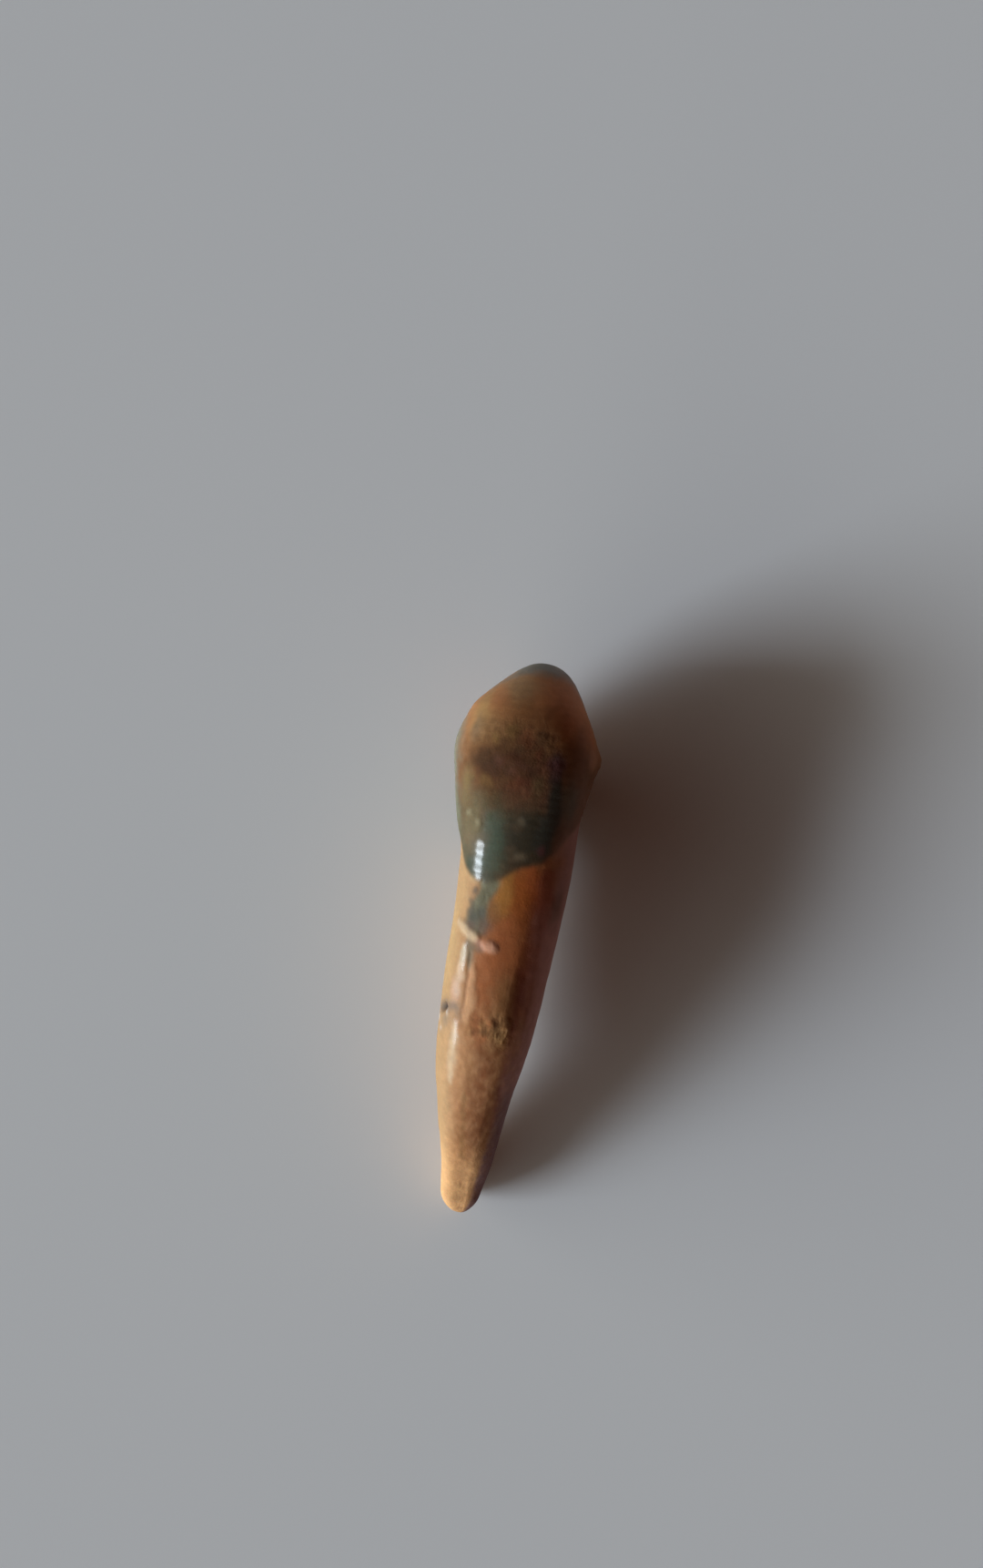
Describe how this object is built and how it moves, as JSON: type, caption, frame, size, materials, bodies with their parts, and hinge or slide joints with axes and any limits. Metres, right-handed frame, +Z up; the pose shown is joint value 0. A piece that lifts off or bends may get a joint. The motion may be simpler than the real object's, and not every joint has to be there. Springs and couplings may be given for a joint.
{
  "type": "fossil cave hyena tooth",
  "caption": "Fossil front tooth of a cave hyena, crown and tapering root in one piece, lying on its side with the lip face up.",
  "frame": {"origin": "on the surface the tooth lies on, under the middle of its outline", "axes": "+Y along the tooth from the root to the crown, +X to the right seen from above, +Z up, out of the face that was towards the lips"},
  "size_m": [0.0092, 0.036, 0.0107],
  "materials": {
    "tooth": "satin"
  },
  "bodies": {
    "root": {"tooth": "tooth"}
  },
  "joints": []
}
